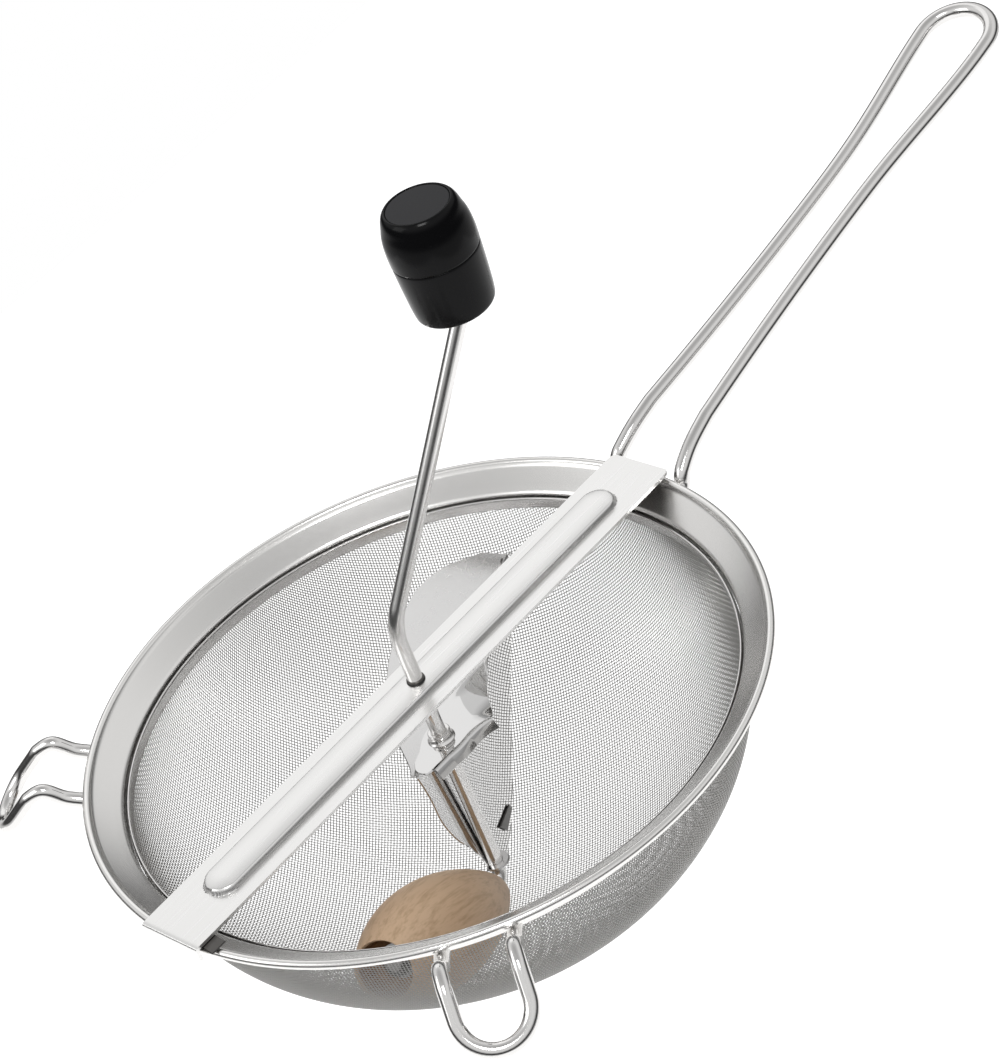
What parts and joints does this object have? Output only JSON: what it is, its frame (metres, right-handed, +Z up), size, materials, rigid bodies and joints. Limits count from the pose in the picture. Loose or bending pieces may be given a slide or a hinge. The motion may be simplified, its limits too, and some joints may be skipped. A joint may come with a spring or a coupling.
{
  "type": "food mill",
  "caption": "Hand-cranked food mill: round mesh strainer with a long wire handle and pot hooks, and a crossbar carrying a crank, sheet scraper and wooden roller.",
  "frame": {"origin": "centre of the rolled rim's bead circle, on the crank's axis, in the plane of the bead's centre", "axes": "+X along the crossbar to the long handle, +Z up along the crank's axis"},
  "size_m": [0.465, 0.2506, 0.2546],
  "materials": {
    "rim_steel": "satin stainless sheet",
    "mesh_wire": "stainless wire cloth",
    "polished_wire": "polished stainless wire",
    "bar_steel": "satin stainless sheet",
    "spring_steel": "dark spring steel",
    "bush_plastic": "black nylon",
    "blade_steel": "polished stainless sheet",
    "beech": "bare turned beech",
    "knob_plastic": "gloss black",
    "disc_plastic": "matt dark grey"
  },
  "bodies": {
    "strainer": {"rim_band": "rim_steel", "mesh_clamp_ring": "rim_steel", "mesh_bowl": "mesh_wire", "handle_loop": "polished_wire", "pot_hook_left": "polished_wire", "pot_hook_right": "polished_wire"},
    "mill_insert": {"crossbar": "bar_steel", "bar_end_hook": "spring_steel", "rim_clip": "spring_steel", "bar_bush": "bush_plastic"},
    "rotor": {"crank_rod": "polished_wire", "rod_stop_ring": "spring_steel", "scraper_collar": "polished_wire", "scraper_plate": "blade_steel", "scraper_blade": "blade_steel", "scraper_foot": "blade_steel", "roller_inner_washer": "polished_wire", "roller_end_washer": "polished_wire", "roller_push_nut": "spring_steel", "knob_washer": "polished_wire", "knob_push_nut": "spring_steel"},
    "roller_body": {"roller": "beech"},
    "knob": {"knob_sleeve": "knob_plastic", "knob_grip": "knob_plastic", "knob_disc": "disc_plastic"}
  },
  "joints": [
    {"name": "insert_tilt", "type": "hinge", "parent": "strainer", "child": "mill_insert", "pos_m": [0.1185, 0, 0], "axis": [0, 1, 0], "range_deg": [0, 40]},
    {"name": "crank_turn", "type": "hinge", "parent": "mill_insert", "child": "rotor", "pos_m": [0, 0, 0], "axis": [0, 0, 1], "continuous": true},
    {"name": "roller_spin", "type": "hinge", "parent": "rotor", "child": "roller_body", "pos_m": [0, 0, -0.0907], "axis": [-0.772, -0.3682, 0.518], "continuous": true},
    {"name": "knob_spin", "type": "hinge", "parent": "rotor", "child": "knob", "pos_m": [0.05969, -0.01599, 0.14], "axis": [0, 0, 1], "continuous": true}
  ],
  "couplings": [
    {"joint": "roller_spin", "follows": "crank_turn", "ratio": -3.4}
  ]
}
